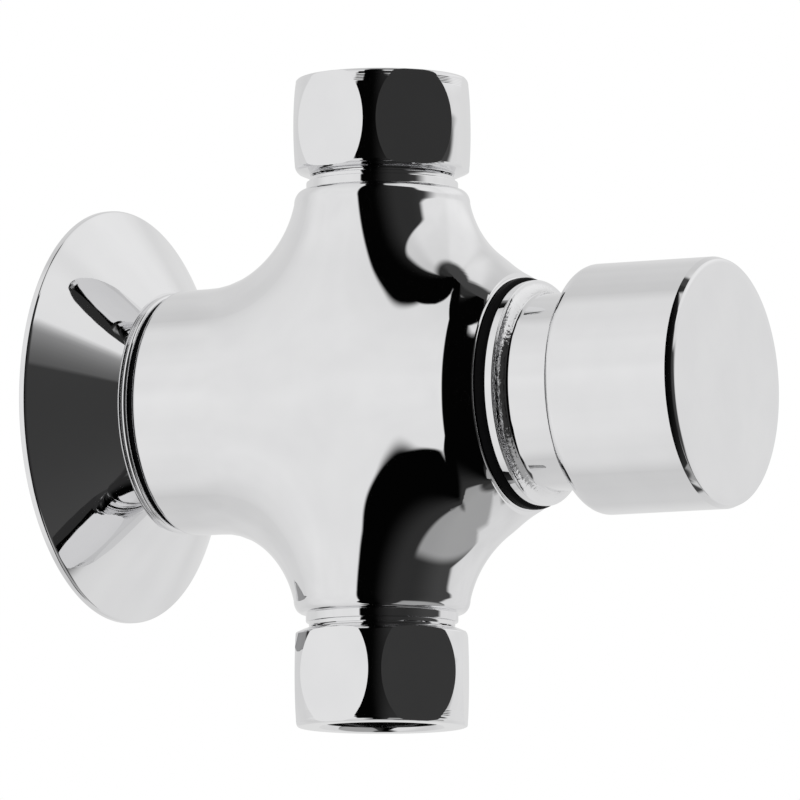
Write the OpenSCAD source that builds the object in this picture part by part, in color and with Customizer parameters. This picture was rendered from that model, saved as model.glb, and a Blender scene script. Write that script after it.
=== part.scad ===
// Wall-mounted push timed tap, taken apart into the pieces that it is assembled from.
// Frame: millimetres, +Z up, the wall is the plane y = 0 and the button faces -Y.
// Axial places along the button's axis are distances from the wall, so a place d lies at y = -d.
// Places on the pipe axis are heights above or below the button's axis.

/* [Body casting] */
// Distance from the wall to the pipe axis
pipe_axis = 57; // [55:0.5:62]
// Radius of the horizontal arms of the cross
arm_r = 23.6; // [23:0.1:24.5]
// Radius of the vertical arms before the blend widens them
pipe_arm_r = 16.4; // [16:0.1:17]
// Radius of the blend between the arms
blend_r = 19; // [15:0.5:21]
// Distance from the pipe axis to the body's front rim
front_arm = 30.7; // [30:0.1:33]
// Length of the conical nose that leads to the front rim
nose_len = 7; // [6:0.1:7.6]
// Slope of the nose towards the axis, in degrees
nose_slope = 13; // [10:0.5:14]
// Radius of the rounding where the nose starts
nose_r = 8; // [6:0.5:10]
// Height of the machined end of a vertical arm
arm_end_z = 40.5; // [40:0.5:44]
// Rounding of that end
arm_end_r = 3.5; // [2.6:0.1:4]
// Radius of the flat face inside that rounding
arm_face_r = 15; // [14.6:0.1:15.2]
// Radius of the turned collar between arm and nut
collar_r = 14.5; // [14.2:0.1:15]
// Length of that collar
collar_len = 1.7; // [1.2:0.1:3]
// Radius of the thread relief beside the collar
relief_r = 13.9; // [13.6:0.1:14.1]
// Length of the thread relief
relief_len = 0.8; // [0.5:0.1:1.5]
// Radius of the bore in each pipe spigot
spigot_bore_r = 9.5; // [8.5:0.1:9.8]
// Depth of that bore below the arm's end
spigot_root = 6; // [4:0.5:8]
// Radius of the drilled water passages
passage_r = 6; // [5:0.1:6.5]

/* [Wall flange] */
// Outer diameter of the bell flange
flange_d = 79.6; // [76:0.2:84]
// Depth of the bell from the wall to its front plate
flange_depth = 14; // [13:0.5:16]
// Radius where the cone meets the bead at its neck
flange_neck_r = 23.2; // [22.5:0.1:24]
// Thickness of the spun sheet
flange_wall = 1.2; // [1:0.1:1.6]
// Thickness of the flange's front plate
flange_plate_t = 1.4; // [1.2:0.1:1.8]
// Height of the rolled rim
rim_h = 1.3; // [1:0.1:2]
// Width of the rim's flat back face
rim_w = 1.9; // [1.5:0.1:2.5]
// Step from the body's rear arm in to the ring beside it
flange_gasket_step = 1.3; // [0.8:0.1:1.6]
// Thickness of the ring between flange and body
flange_gasket_t = 1; // [0.6:0.1:1.6]
// Radius of the rear spigot that passes through the flange
rear_spigot_r = 13; // [12:0.1:14]
// Across flats of the locknut behind the flange
locknut_af = 32; // [31:0.5:34]
// Thickness of the locknut
locknut_t = 4.5; // [3.5:0.5:6]
// Core radius of the M8 hole for the wall stud
stud_hole_r = 3.4; // [3:0.1:4.2]
// Depth of that hole
stud_hole_len = 22; // [16:1:26]

/* [Union nuts] */
// Across flats of the union nuts
nut_af = 32; // [31.5:0.1:32.5]
// Largest radius of the nut's barrel
nut_r = 17.8; // [17.5:0.1:18]
// Length of a union nut
nut_len = 18.8; // [17:0.2:22]
// Crest radius of the G3/4 pipe thread
thread_r = 13.22; // [13:0.01:13.4]
// Radius of the nut's lip, for a 22 mm pipe tail
lip_r = 11.3; // [11.1:0.1:11.6]
// Thickness of the lip, with its chamfer
lip_t = 3.1; // [2.6:0.1:4]
// Chamfer at the mouth of the lip
lip_chamfer = 0.75; // [0.4:0.05:1]
// Room left inside the lip for the collar of a pipe tail
tail_room = 1.7; // [1:0.1:2.5]
// How far the gaskets reach in past the spigot's bore
gasket_lap = 0.5; // [0.2:0.1:1]
// Thickness of the flat pipe gaskets
gasket_t = 2; // [1.5:0.1:3]
// Turn of the lower nut about the pipe axis, in degrees
lower_nut_turn = 23; // [0:1:60]
// Turn of the upper nut about the pipe axis, in degrees
upper_nut_turn = 19.5; // [0:0.5:60]

/* [Strainer and flow limiter] */
// Radius of the strainer's rim
strainer_r = 10.7; // [10.2:0.1:11]
// Thickness of the strainer's rim
strainer_rim_t = 0.9; // [0.7:0.1:1.4]
// Length of the strainer's basket
strainer_len = 12; // [9:0.5:14]
// Wall of the strainer's basket
strainer_wall = 0.5; // [0.4:0.1:0.7]
// Radius of the strainer's holes
strainer_hole_r = 0.8; // [0.5:0.1:0.9]
// Thickness of the flow limiter
limiter_t = 4; // [3:0.5:5]
// Radius of the flow limiter
limiter_r = 10.9; // [10.5:0.1:11.1]
// Radius of the limiter's jets
jet_r = 1.1; // [0.8:0.1:1.3]

/* [Bonnet] */
// Thickness of the black ring between body and bonnet
bonnet_gasket_t = 1.9; // [1.4:0.1:2.4]
// Outer radius of that ring
bonnet_gasket_r = 22; // [21.7:0.1:22.2]
// Radius of the bonnet's flange
bonnet_flange_r = 21.4; // [21:0.1:21.8]
// Thickness of the bonnet's flange
bonnet_flange_t = 1.7; // [1.4:0.1:2.4]
// Radius of the neck that reaches into the button
neck_r = 18.7; // [18.4:0.1:19.2]
// Length of the neck in front of the flange
neck_len = 16.7; // [15:0.1:18]
// Hollow rounding between flange and neck
neck_fillet = 2.5; // [2.4:0.1:3.2]
// Radius of the spring's pocket in the neck
pocket_r = 16; // [15.5:0.1:16.4]
// Depth of that pocket
pocket_depth = 10; // [8:0.5:11]
// Radius of the bonnet's thread in the body
bonnet_thread_r = 17.5; // [17:0.1:18]
// Radius of the timing chamber inside the bonnet
chamber_r = 13; // [12.4:0.1:13.4]
// Thickness of the bonnet's front web
web_t = 10; // [9.6:0.1:12]
// Length of the stem's guide bush
bush_len = 5; // [4:0.5:5.5]
// Radius of the guide bush
bush_r = 8; // [7.4:0.1:8.6]
// Section radius of the stem's seal ring
stem_ring_r = 0.95; // [0.8:0.05:1]

/* [Push button] */
// Outer radius of the button
button_r = 23.7; // [23.2:0.1:25]
// Length of the button
button_len = 27.5; // [26:0.5:31]
// Space between the bonnet's flange and the button's rear edge at rest
button_gap = 11.2; // [10:0.1:13]
// Travel of the button
stroke = 7; // [5:0.5:8]
// Depth of the steep land along the button's front edge
button_land = 1.1; // [0.8:0.1:1.4]
// How far that land leans inwards
button_land_in = 0.4; // [0.3:0.05:0.6]
// Depth of the rounding between the land and the face
button_front_r = 0.6; // [0.4:0.1:1]
// Width of that rounding across the face
button_front_w = 2.4; // [1.6:0.1:2.8]
// Rounding of the button's rear edge
button_rear_r = 2.2; // [1.2:0.1:2.4]
// Wall of the button's skirt
button_wall = 2.5; // [2.4:0.1:2.9]
// Thickness of the button's front
button_face_t = 3.5; // [3:0.1:5]
// Radius of the hub inside the button
hub_r = 8; // [7:0.1:8.6]
// Length of the hub
hub_len = 13.5; // [11:0.5:15]
// Across flats of the jam nut
jam_af = 13; // [12:0.5:14]
// Thickness of the jam nut
jam_t = 4.5; // [3:0.5:5]
// Mean radius of the return spring
spring_r = 13; // [11:0.1:14]
// Radius of the spring's wire
wire_r = 0.9; // [0.7:0.05:1.1]
// Turns of the return spring
spring_turns = 6; // [4:1:7]

/* [Stem and valve] */
// Radius of the stem in its bush
stem_r = 5; // [4.5:0.1:5.4]
// Radius of the stem behind the piston
stem_rear_r = 3.5; // [3.2:0.1:4]
// Radius of the stem's front thread
stem_thread_r = 4; // [3.6:0.1:4.3]
// Radius of the stem's rear thread
stem_tip_r = 2.5; // [2:0.1:2.8]
// Depth of the stem's thread in the button
stem_hold = 11; // [8:0.5:12]
// Length of the piston
piston_t = 5; // [4.6:0.1:6]
// Space in front of the piston at rest
piston_gap = 2; // [1:0.1:3]
// Width of the piston's seal groove
seal_w = 3; // [2.6:0.1:3.4]
// Radius of the bottom of that groove
seal_root_r = 10; // [9.8:0.1:11]
// Radius of the timing needle
needle_r = 0.6; // [0.4:0.05:0.8]
// Distance of the timing needle from the axis
needle_at = 8.2; // [7.8:0.1:8.6]
// Length of the needle held in the bonnet
needle_hold = 1.5; // [1:0.1:2]
// Depth of the clip's groove in the stem
clip_depth = 0.5; // [0.3:0.1:0.8]
// Width of the clip's ring outside the stem
clip_width = 2; // [1.4:0.1:2.4]
// Thickness of the retaining clip
clip_t = 1; // [0.8:0.1:1.2]
// Radius of the valve seat's bore
seat_bore_r = 7; // [6.5:0.1:7.4]
// Radius of the hole in the body that takes the seat
seat_hole_r = 10; // [9.8:0.1:10.4]
// Distance of the seat's shelf in front of the pipe axis
shelf_shift = 2; // [1:0.1:3]
// Length of the seat behind its flange
seat_len = 5; // [4.6:0.1:7]
// Thickness of the seat's flange
seat_flange_t = 2; // [1.6:0.1:3]
// Radius of the seat's flange and of the cage
cage_r = 13.4; // [12.8:0.1:13.8]
// Wall of the cage
cage_wall = 2; // [1.5:0.1:2.4]
// Radius of the bore around the cage
cage_bore_r = 15.5; // [15:0.1:16]
// Thickness of the valve washer
washer_t = 2; // [1.5:0.1:3]
// Radius of the valve washer and disc
disc_r = 8.5; // [8.2:0.1:8.8]
// Thickness of the valve disc
disc_t = 3; // [2:0.1:4]
// Across flats of the valve nut
valve_nut_af = 8; // [7.5:0.5:9]
// Thickness of the valve nut
valve_nut_t = 2.5; // [2:0.1:4]

/* [Clearances] */
// Radial clearance of a piece that slides or turns
run_gap = 0.05; // [0.02:0.01:0.1]
// Radial clearance of a piece that is pressed or screwed home
fit_gap = 0.02; // [0.01:0.01:0.05]
// Radial clearance where a piece passes freely
free_gap = 0.3; // [0.2:0.05:0.4]
// Room left past the end of the stroke
end_room = 1; // [0.6:0.1:1.4]

/* [Hidden] */
$fn = 96;

// A length that surely passes the whole part
reach = 200;
// A small overlap for cuts
cut = 0.5;
// The least overlap, where a cut's end has to keep its size
touch = 0.001;
// Steps of a rounded corner in a turned outline
arc_steps = 6;
// Sides of a sealing ring's round section
seal_sides = 24;
// How far a turned piece that is joined to another reaches into it
sink = 2;

// Places along the button's axis, as distances from the wall
flange_plate = flange_depth - flange_plate_t;
body_rear = flange_depth + flange_gasket_t;
body_front = pipe_axis + front_arm;
bonnet_rear = body_front + bonnet_gasket_t;
bonnet_step = bonnet_rear + bonnet_flange_t;
neck_end = bonnet_step + neck_len;
web_front = neck_end - pocket_depth;
button_rear = bonnet_step + button_gap;
button_front = button_rear + button_len;
edge_from = atan(button_land_in / button_land * button_front_r / button_front_w);
edge_r = button_r - button_land_in + button_front_w * (1 - cos(edge_from));
land_end = button_front - button_front_r * (1 - sin(edge_from));
button_roof = button_front - button_face_t;
hub_rear = button_roof - hub_len;
jam_rear = hub_rear - jam_t;
chamber_end = web_front - web_t;
piston_front = chamber_end - piston_gap;
piston_rear = piston_front - piston_t;
shank_end = piston_rear - stroke - end_room;
seat_shelf = pipe_axis + shelf_shift;
cage_rear = seat_shelf + seat_flange_t;
seat_rear = seat_shelf - seat_len;
washer_rear = seat_rear - washer_t;
disc_rear = washer_rear - disc_t;
stem_tip = disc_rear - valve_nut_t;
rear_chamber_end = stem_tip - stroke - 3 * end_room;
inlet_passage = seat_shelf - passage_r - seat_len + cut;
outlet_passage = seat_shelf + passage_r + cut;
bush_rear = web_front - bush_len;
ring_seat = bush_rear - 2 * stem_ring_r - 2 * run_gap;

// Heights along the pipe axis
nut_start = arm_end_z + collar_len + relief_len + free_gap;
nut_end = nut_start + nut_len;
lip_start = nut_end - lip_t;
spigot_end = lip_start - tail_room - gasket_t;
passage_top = arm_end_z - spigot_root;

// Radii that follow from others
flange_r = flange_d / 2;
nut_bore_r = thread_r + run_gap;
gasket_out_r = thread_r - free_gap;
limiter_hole_r = limiter_r + fit_gap;
strainer_hole = strainer_r + fit_gap;
basket_r = spigot_bore_r - free_gap;
skirt_bore_r = button_r - button_wall;
bonnet_shank_r = bonnet_thread_r - run_gap;
ring_outer_r = stem_r + 2 * run_gap + 2 * stem_ring_r;
piston_r = chamber_r - free_gap;
clip_root_r = stem_rear_r - clip_depth;

// Points of an arc about a centre, from one angle to another
function arc(centre, r, from, to) =
  [for (i = [0:arc_steps]) let (a = from + (to - from) * i / arc_steps) centre + r * [cos(a), sin(a)]];

// Radius of the horizontal arms at a distance forward of the pipe axis
nose_start = front_arm - nose_len;
cone_start = nose_start + nose_r * sin(nose_slope);
cone_r = arm_r - nose_r * (1 - cos(nose_slope));
function arm_radius(t) = t <= nose_start ? arm_r
  : t <= cone_start ? arm_r - nose_r + sqrt(nose_r * nose_r - pow(t - nose_start, 2))
  : max(cone_r - (t - cone_start) * tan(nose_slope), pipe_arm_r / 2);

// Signed gap to the two crossing arms, joined by a round blend: negative inside the casting
function casting_gap(p) =
  let (
    across = norm([p.x, p.z]) - arm_radius(p.y),
    upright = norm([p.x, p.y]) - pipe_arm_r,
    u = max(blend_r - across, 0),
    v = max(blend_r - upright, 0)
  )
  max(blend_r, min(across, upright)) - norm([u, v]);

// Distance from the crossing to the casting's surface in one direction, by halving
function casting_reach(dir, low, high, steps) =
  steps == 0 ? (low + high) / 2
  : let (mid = (low + high) / 2)
    casting_gap(mid * dir) < 0 ? casting_reach(dir, mid, high, steps - 1)
    : casting_reach(dir, low, mid, steps - 1);

// The casting's skin as rings of points about the pipe axis, closer together where the arms blend
side_angles = [9, 18, 27, 32, 36, 40, 44, 49, 57, 68, 79, 90, 100, 110, 120, 130, 139, 148, 157, 168];
ring_angles = concat([0], side_angles, [180], [for (i = [len(side_angles) - 1:-1:0]) 360 - side_angles[i]]);
ring_points = len(ring_angles);
upper_rows = [9, 18, 27, 36, 40, 44, 48, 52, 56, 60, 64, 68, 74, 82];
skin_rows = concat([for (i = [len(upper_rows) - 1:-1:0]) -upper_rows[i]], [0], upper_rows);
skin_limit = 70;
function skin_point(lon, lat) =
  let (
    dir = [cos(lat) * sin(lon), cos(lat) * cos(lon), sin(lat)],
    p = casting_reach(dir, 5, skin_limit, 22) * dir
  )
  [p.x, -pipe_axis - p.y, p.z];

module casting_skin() {
  rows = len(skin_rows);
  points = concat(
    [for (lat = skin_rows) for (lon = ring_angles) skin_point(lon, lat)],
    [[0, -pipe_axis, -skin_limit], [0, -pipe_axis, skin_limit]]
  );
  function at(row, k) = row * ring_points + k % ring_points;
  sides = [for (row = [0:rows - 2]) for (k = [0:ring_points - 1]) each [
    [at(row, k), at(row + 1, k), at(row + 1, k + 1)],
    [at(row, k), at(row + 1, k + 1), at(row, k + 1)]
  ]];
  bottom = [for (k = [0:ring_points - 1]) [at(0, k), at(0, k + 1), rows * ring_points]];
  top = [for (k = [0:ring_points - 1]) [at(rows - 1, k + 1), at(rows - 1, k), rows * ring_points + 1]];
  polyhedron(points = points, faces = concat(sides, bottom, top));
}

// Turns a shape drawn upwards from the wall so that it stands out along the button's axis
module along_axis() rotate([90, 0, 0]) children();

// Stands a shape on the pipe axis, upwards or downwards
module on_pipe(up) translate([0, -pipe_axis, 0]) mirror([0, 0, up ? 0 : 1]) children();

// A turned ring or tube between two places
module ring(outer, inner, from, to)
  translate([0, 0, from]) difference() {
    cylinder(r = outer, h = to - from);
    translate([0, 0, -cut]) cylinder(r = inner, h = to - from + 2 * cut);
  }

// A rod between two places
module rod(r, from, to) translate([0, 0, from]) cylinder(r = r, h = to - from);

// A six-sided bar, by its size across flats
module hex_bar(af, from, to)
  translate([0, 0, from]) cylinder(r = af / 2 / cos(30), h = to - from, $fn = 6);

// A round sealing ring about an axis
module seal_ring(mean, section, at)
  translate([0, 0, at]) rotate_extrude() translate([mean, 0]) circle(section, $fn = seal_sides);

// What the lathe takes off the casting: its rear and front faces and the rounded ends of the arms
module turning_cuts() {
  along_axis() rod(reach, -reach, body_rear);
  along_axis() rod(reach, body_front, reach + body_front);
  turn_in = 70;
  centre = [arm_face_r, arm_end_z] - arm_end_r * [cos(turn_in), sin(turn_in)];
  for (up = [true, false]) on_pipe(up) rotate_extrude() polygon(concat(
    [[0, arm_end_z]],
    arc(centre, arm_end_r, turn_in, 0),
    [[reach, centre.y], [reach, reach], [0, reach]]
  ));
}

// Collar, thread relief and thread that carry a union nut
module pipe_spigot() {
  rod(collar_r, passage_top, arm_end_z + collar_len);
  rod(relief_r, arm_end_z, arm_end_z + collar_len + relief_len);
  rod(thread_r, arm_end_z, spigot_end);
}

// Bores of the body: valve chamber, cartridge seat and thread, water passages, stud hole
module body_bores() {
  along_axis() {
    rod(stud_hole_r, -cut, stud_hole_len);
    rod(seat_hole_r, rear_chamber_end, seat_shelf + cut);
    rod(cage_bore_r, seat_shelf, shank_end + cut);
    rod(bonnet_thread_r, shank_end - cut, body_front + cut);
  }
  translate([0, pipe_axis - inlet_passage, 0]) on_pipe(false)
    rod(passage_r, 0, passage_top + cut);
  translate([0, pipe_axis - outlet_passage, 0]) on_pipe(true)
    rod(passage_r, 0, passage_top + cut);
  on_pipe(false) {
    rod(spigot_bore_r, passage_top, spigot_end + cut);
    rod(strainer_hole, spigot_end - strainer_rim_t, spigot_end + cut);
  }
  on_pipe(true) {
    rod(spigot_bore_r, passage_top, spigot_end + cut);
    rod(limiter_hole_r, spigot_end - limiter_t, spigot_end + cut);
  }
}

// Cast cross with turned ends, the heart of the tap
module valve_body() color("silver") difference() {
  union() {
    difference() {
      casting_skin();
      turning_cuts();
    }
    along_axis() rod(rear_spigot_r, 0, body_rear + sink);
    on_pipe(true) pipe_spigot();
    on_pipe(false) pipe_spigot();
  }
  body_bores();
}

// Spun bell that hides the fixing and rests on the wall
module wall_flange() {
  lip = 0.45;
  lip_turn = 60;
  bead = flange_depth - flange_plate;
  slope_r = flange_r - lip - flange_neck_r;
  slope_d = flange_plate - rim_h;
  sheet = flange_wall * norm([slope_r, slope_d]) / slope_r;
  inner_rim = flange_r - rim_w;
  inner_rise = rim_h - sheet + (flange_r - lip - inner_rim) * slope_d / slope_r;
  inner_neck = flange_r - lip - (slope_d + sheet) * slope_r / slope_d;
  color("silver") along_axis() rotate_extrude() polygon(concat(
    [[inner_rim, 0], [flange_r, 0]],
    arc([flange_r - lip, rim_h - lip], lip, 0, lip_turn),
    [[flange_r - lip, rim_h], [flange_neck_r, flange_plate]],
    arc([flange_neck_r - bead / 2, flange_plate + bead / 2], bead / 2, 0, 90),
    [[rear_spigot_r + free_gap, flange_depth], [rear_spigot_r + free_gap, flange_plate]],
    [[inner_neck, flange_plate], [inner_rim, inner_rise]]
  ));
}

// Thin black ring between the flange and the body
module flange_gasket() color("dimgray") along_axis()
  ring(arm_r - flange_gasket_step, rear_spigot_r + free_gap, flange_depth, body_rear);

// Locknut with chamfered corners that clamps the flange to the body from behind
module flange_locknut() {
  rear = flange_plate - locknut_t;
  flat_r = locknut_af / 2;
  corner_r = flat_r / cos(30);
  chamfer_t = (corner_r - flat_r) * tan(30);
  color("goldenrod") along_axis() difference() {
    intersection() {
      hex_bar(locknut_af, rear, flange_plate);
      rotate_extrude() polygon([
        [0, rear], [flat_r, rear], [corner_r, rear + chamfer_t],
        [corner_r, flange_plate - chamfer_t], [flat_r, flange_plate], [0, flange_plate]
      ]);
    }
    rod(rear_spigot_r + run_gap, rear - cut, flange_plate + cut);
  }
}

// Barrel-shaped hexagon nut with a lip that holds a pipe tail
module union_nut(turn) {
  fullest = 0.48;
  draw_in = 1.2;
  start_chamfer = 1;
  end_edge = 1.1;
  end_from = 30;
  swell = nut_len * fullest;
  swell_r = (swell * swell + draw_in * draw_in) / (2 * draw_in);
  start_angle = asin((swell - start_chamfer) / swell_r);
  end_angle = asin((nut_len - end_edge - swell) / swell_r);
  end_r = nut_r - swell_r * (1 - cos(end_angle)) - end_edge;
  core_r = lip_r - sink;
  difference() {
    intersection() {
      rotate_extrude() polygon(concat(
        [[core_r, nut_start], [collar_r, nut_start]],
        arc([nut_r - swell_r, nut_start + swell], swell_r, -start_angle, end_angle),
        arc([end_r, nut_end - end_edge], end_edge, end_from, 90),
        [[core_r, nut_end]]
      ));
      rotate(turn) hex_bar(nut_af, nut_start - cut, nut_end + cut);
    }
    rod(nut_bore_r, nut_start - cut, lip_start);
    rod(lip_r, lip_start - cut, nut_end + cut);
    translate([0, 0, nut_end - lip_chamfer])
      cylinder(r1 = lip_r, r2 = lip_r + lip_chamfer, h = lip_chamfer + touch);
  }
}

// Lower nut, which joins the supply pipe
module inlet_nut() color("silver") on_pipe(false) union_nut(lower_nut_turn);

// Upper nut, which joins the pipe to the shower or basin
module outlet_nut() color("silver") on_pipe(true) union_nut(upper_nut_turn);

// Flat gaskets that the nuts press on the spigots
module inlet_gasket() color("dimgray") on_pipe(false)
  ring(gasket_out_r, spigot_bore_r - gasket_lap, spigot_end, spigot_end + gasket_t);
module outlet_gasket() color("dimgray") on_pipe(true)
  ring(gasket_out_r, spigot_bore_r - gasket_lap, spigot_end, spigot_end + gasket_t);

// Basket strainer whose rim lies in the end of the lower spigot
module inlet_strainer() {
  rows = 4;
  holes = 10;
  bottom = spigot_end - strainer_len;
  inside = basket_r - strainer_wall;
  color("lightsteelblue") on_pipe(false) difference() {
    union() {
      rod(strainer_r, spigot_end - strainer_rim_t, spigot_end);
      rod(basket_r, bottom, spigot_end - strainer_rim_t / 2);
    }
    rod(inside, bottom + strainer_wall, spigot_end + cut);
    for (row = [0:rows - 1]) for (k = [0:holes - 1])
      translate([0, 0, bottom + (row + 0.75) * strainer_len / (rows + 1)])
        rotate([0, 90, 360 * (k + (row % 2) / 2) / holes])
          rod(strainer_hole_r, inside - cut, basket_r + cut);
  }
}

// Disc with jets that evens out the flow in the upper spigot
module flow_limiter() {
  jets = 8;
  color("white") on_pipe(true) difference() {
    rod(limiter_r, spigot_end - limiter_t, spigot_end);
    rod(2 * jet_r, spigot_end - limiter_t / 2, spigot_end + cut);
    for (k = [0:jets - 1]) rotate(360 * k / jets) translate([limiter_r / 2, 0, 0])
      rod(jet_r, spigot_end - limiter_t - cut, spigot_end + cut);
  }
}

// Chromed head that screws into the body, closes the timing chamber and guides the stem
module bonnet() {
  edge = 0.3;
  rise = bonnet_flange_r - edge - neck_r;
  fillet_from = acos((neck_fillet - rise) / neck_fillet);
  fillet_at = bonnet_step + neck_fillet * sin(fillet_from);
  color("silver") along_axis() difference() {
    rotate_extrude() polygon(concat(
      [[0, shank_end], [bonnet_shank_r, shank_end]],
      [[bonnet_shank_r, bonnet_rear], [bonnet_flange_r, bonnet_rear]],
      arc([bonnet_flange_r - edge, bonnet_step - edge], edge, 0, 90),
      arc([neck_r + neck_fillet, fillet_at], neck_fillet, 180 + fillet_from, 180),
      [[neck_r, neck_end], [0, neck_end]]
    ));
    rod(chamber_r, shank_end - cut, chamber_end);
    rod(stem_r + free_gap, chamber_end - cut, ring_seat + cut);
    rod(ring_outer_r, ring_seat, bush_rear + cut);
    rod(bush_r, bush_rear, web_front + cut);
    rod(pocket_r, web_front, neck_end + cut);
    translate([needle_at, 0, 0])
      rod(needle_r + fit_gap, chamber_end - cut, chamber_end + needle_hold);
  }
}

// Black ring squeezed between the body's rim and the bonnet
module bonnet_gasket() color("dimgray") along_axis()
  ring(bonnet_gasket_r, bonnet_thread_r + free_gap, body_front, bonnet_rear);

// Plastic bush that guides the stem
module stem_bush() color("ivory") along_axis()
  ring(bush_r - fit_gap, stem_r + run_gap, bush_rear, web_front);

// Seal that wipes the stem behind the bush
module stem_seal_ring() color("dimgray") along_axis()
  seal_ring(stem_r + run_gap + stem_ring_r, stem_ring_r, (ring_seat + bush_rear) / 2);

// Calibrated needle that keeps the piston's timing hole clean
module timing_needle() color("slategray") along_axis() translate([needle_at, 0, 0])
  rod(needle_r, shank_end, chamber_end + needle_hold);

// Cage with windows that holds the seat and lets the water out
module cartridge_cage() {
  windows = 6;
  window_w = 7;
  rib = 2;
  color("ivory") along_axis() difference() {
    ring(cage_r, cage_r - cage_wall, cage_rear, shank_end);
    for (k = [0:windows - 1]) rotate(360 * (k + 0.5) / windows)
      translate([cage_r - cage_wall - cut, -window_w / 2, cage_rear + rib])
        cube([cage_wall + 2 * cut, window_w, shank_end - cage_rear - 2 * rib]);
  }
}

// Turned seat that the valve washer closes from behind
seat_ring_r = 0.52;
seat_root_r = seat_hole_r - fit_gap - 2 * seat_ring_r - 2 * fit_gap;
seat_ring_at = seat_shelf - sink;
seat_groove = seat_ring_r + run_gap;
module valve_seat() color("goldenrod") along_axis() difference() {
  union() {
    rod(cage_r, seat_shelf, cage_rear);
    rod(seat_hole_r - fit_gap, seat_rear, seat_shelf + cut);
  }
  rod(seat_bore_r, seat_rear - cut, cage_rear + cut);
  ring(seat_hole_r + cut, seat_root_r, seat_ring_at - seat_groove, seat_ring_at + seat_groove);
}

// Seal in the seat's groove
module seat_seal_ring() color("dimgray") along_axis()
  seal_ring(seat_root_r + seat_ring_r + fit_gap, seat_ring_r, seat_ring_at);

// Chromed cap that the hand pushes
module push_button() {
  hub_hole = hub_rear + stem_hold + cut;
  color("silver") along_axis() {
    difference() {
      rotate_extrude() polygon(concat(
        [[0, button_rear], [button_r - button_rear_r, button_rear]],
        arc([button_r - button_rear_r, button_rear + button_rear_r], button_rear_r, -90, 0),
        [[button_r, land_end - button_land]],
        [for (p = arc([0, 0], 1, edge_from, 90))
          [edge_r - button_front_w * (1 - p.x), button_front - button_front_r * (1 - p.y)]],
        [[0, button_front]]
      ));
      difference() {
        rod(skirt_bore_r, button_rear - cut, button_roof);
        rod(hub_r, hub_rear, button_roof + cut);
      }
      rod(stem_thread_r + fit_gap, hub_rear - cut, hub_hole);
    }
  }
}

// Jam nut that locks the stem in the button
module jam_nut() color("slategray") along_axis() difference() {
  hex_bar(jam_af, jam_rear, hub_rear);
  rod(stem_thread_r + fit_gap, jam_rear - cut, hub_rear + cut);
}

// Stem that carries button, piston and valve
clip_rear = piston_rear - clip_t;
module stem() color("lightgray") along_axis() difference() {
  union() {
    rod(stem_tip_r, stem_tip, washer_rear + cut);
    rod(stem_rear_r, washer_rear, piston_front + cut);
    rod(stem_r, piston_front, jam_rear - cut);
    rod(stem_thread_r, jam_rear - 2 * cut, hub_rear + stem_hold);
  }
  ring(stem_rear_r + cut, clip_root_r, clip_rear, piston_rear);
}

// Piston that slides in the timing chamber
seal_rear = piston_rear + (piston_t - seal_w) / 2;
module piston() color("ivory") along_axis() difference() {
  rod(piston_r, piston_rear, piston_front);
  rod(stem_rear_r + fit_gap, piston_rear - cut, piston_front + cut);
  ring(piston_r + cut, seal_root_r, seal_rear, seal_rear + seal_w);
  translate([needle_at, 0, 0]) rod(needle_r + free_gap / 2, piston_rear - cut, piston_front + cut);
}

// Lip seal of the piston, open to the front
module piston_seal() {
  outer = chamber_r - run_gap;
  inner = seal_root_r + fit_gap;
  from = seal_rear + run_gap;
  to = seal_rear + seal_w - run_gap;
  middle = (outer + inner) / 2;
  flare = 0.4;
  floor_t = 1;
  color("dimgray") along_axis() rotate_extrude() polygon([
    [inner, from], [outer - flare, from], [outer, to], [middle + flare, to],
    [middle, from + floor_t], [middle - flare, to], [inner, to]
  ]);
}

// Split clip that holds the piston on the stem
module piston_clip() {
  slot_w = clip_root_r * 1.6;
  color("slategray") along_axis() difference() {
    ring(stem_rear_r + clip_width, clip_root_r + fit_gap, clip_rear, piston_rear);
    translate([0, -slot_w / 2, clip_rear - cut]) cube([reach, slot_w, clip_t + 2 * cut]);
  }
}

// Metal disc that backs the valve washer
module valve_disc() color("goldenrod") along_axis()
  ring(disc_r, stem_tip_r + fit_gap, disc_rear, washer_rear);

// Rubber washer that closes the seat
module valve_washer() color("dimgray") along_axis()
  ring(disc_r, stem_rear_r + fit_gap, washer_rear, seat_rear);

// Nut that holds disc and washer on the stem
module valve_nut() color("slategray") along_axis() difference() {
  hex_bar(valve_nut_af, stem_tip, disc_rear);
  rod(stem_tip_r + fit_gap, stem_tip - cut, disc_rear + cut);
}

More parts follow.
